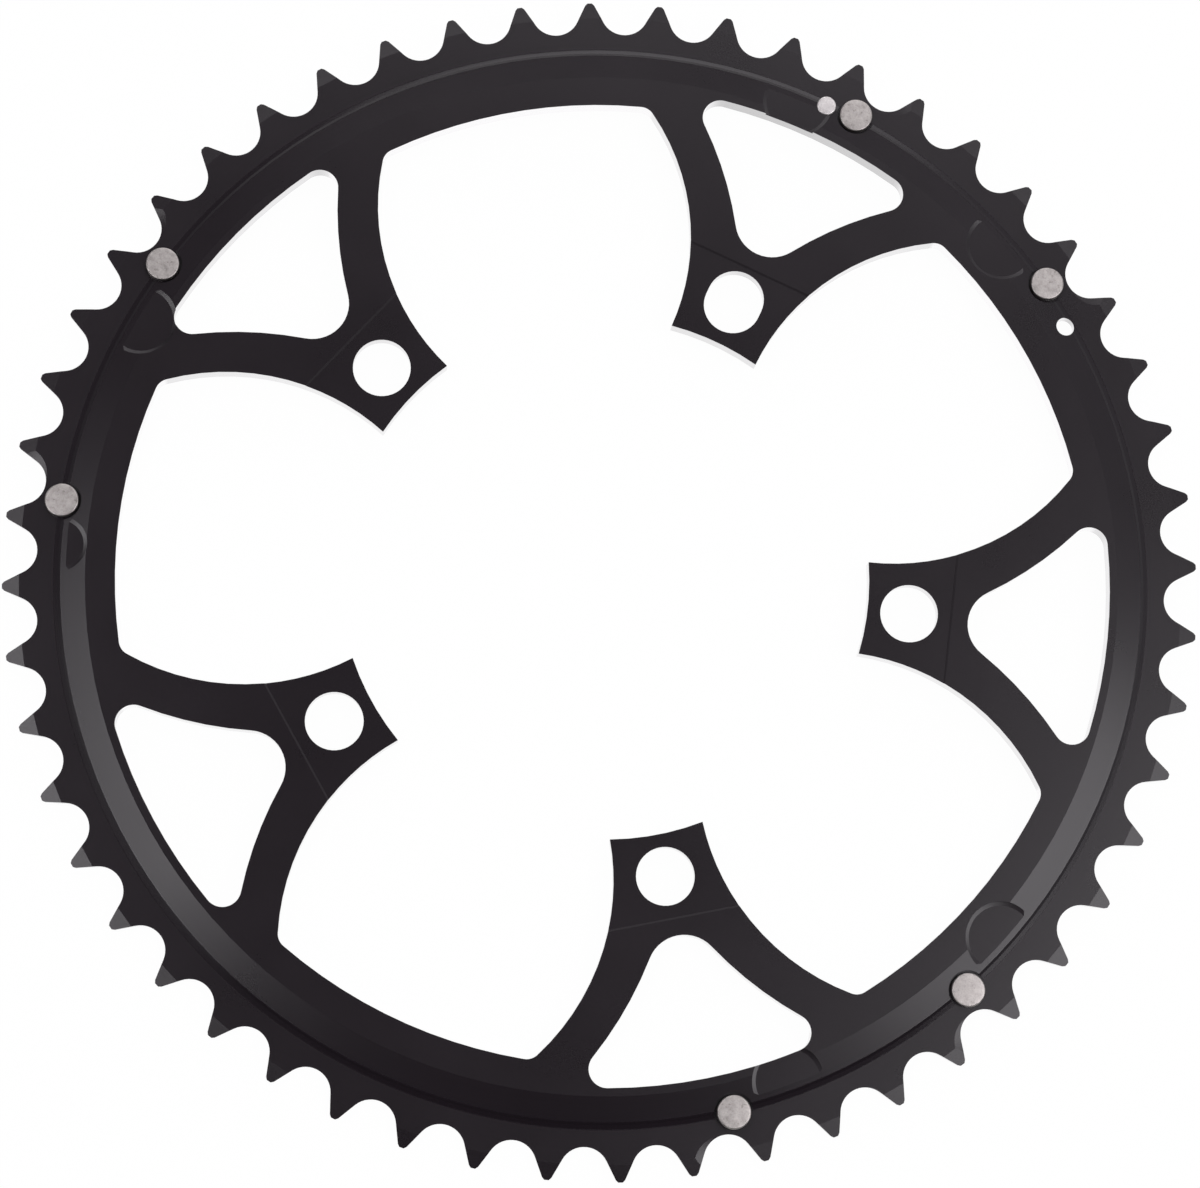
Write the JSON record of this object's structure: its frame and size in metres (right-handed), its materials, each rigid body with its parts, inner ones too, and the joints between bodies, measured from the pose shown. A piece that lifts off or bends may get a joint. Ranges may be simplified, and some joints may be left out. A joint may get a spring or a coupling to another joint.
{
  "type": "bicycle chainring",
  "caption": "Toothed ring for a bicycle crank, with Y-shaped arms ending in bolt tabs, a bevelled tooth band and riveted steel pins that lift the chain while shifting.",
  "frame": {"origin": "on the ring's axis, in the plane of its flat outer face", "axes": "+Z along the ring's axis, out of the inner face that looks at the bicycle; +Y along the arm that lies behind the crank"},
  "size_m": [0.2146, 0.2146, 0.0074],
  "materials": {
    "anodised_aluminium": "black anodised, fine bead-blasted satin",
    "pin_steel": "turned, bright"
  },
  "bodies": {
    "root": {"chainring": "anodised_aluminium", "shift_pin_1": "pin_steel", "shift_pin_2": "pin_steel", "shift_pin_3": "pin_steel", "shift_pin_4": "pin_steel", "shift_pin_5": "pin_steel", "shift_pin_6": "pin_steel", "chain_drop_pin": "pin_steel"}
  },
  "joints": []
}
